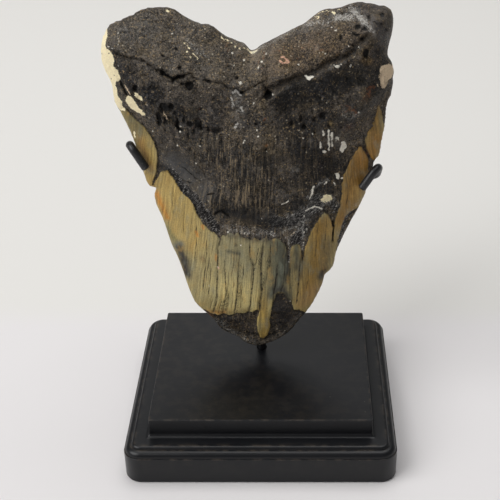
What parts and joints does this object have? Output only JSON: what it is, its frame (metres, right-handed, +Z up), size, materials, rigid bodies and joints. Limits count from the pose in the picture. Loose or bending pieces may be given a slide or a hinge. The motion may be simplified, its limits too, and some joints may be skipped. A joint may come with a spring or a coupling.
{
  "type": "fossil shark tooth on display stand",
  "caption": "Large fossil shark tooth with a heavy root, worn enamel and a blunt tip, held upright by bent steel rods on a moulded black base.",
  "frame": {"origin": "middle of the base's underside", "axes": "+Z up, +X to the viewer's right, +Y away from the viewer; the tooth's inner face looks towards -Y and leans back 12 degrees"},
  "size_m": [0.1085, 0.0888, 0.1582],
  "materials": {
    "base_lacquer": "satin black lacquer over moulded wood",
    "rod_paint": "satin black paint on steel rod",
    "fossil": "mineralised tooth: matt dark root, semi-gloss ochre and grey enamel with cracks"
  },
  "bodies": {
    "root": {"base": "base_lacquer", "stem": "rod_paint", "left_arm": "rod_paint", "right_arm": "rod_paint", "tooth": "fossil"}
  },
  "joints": []
}
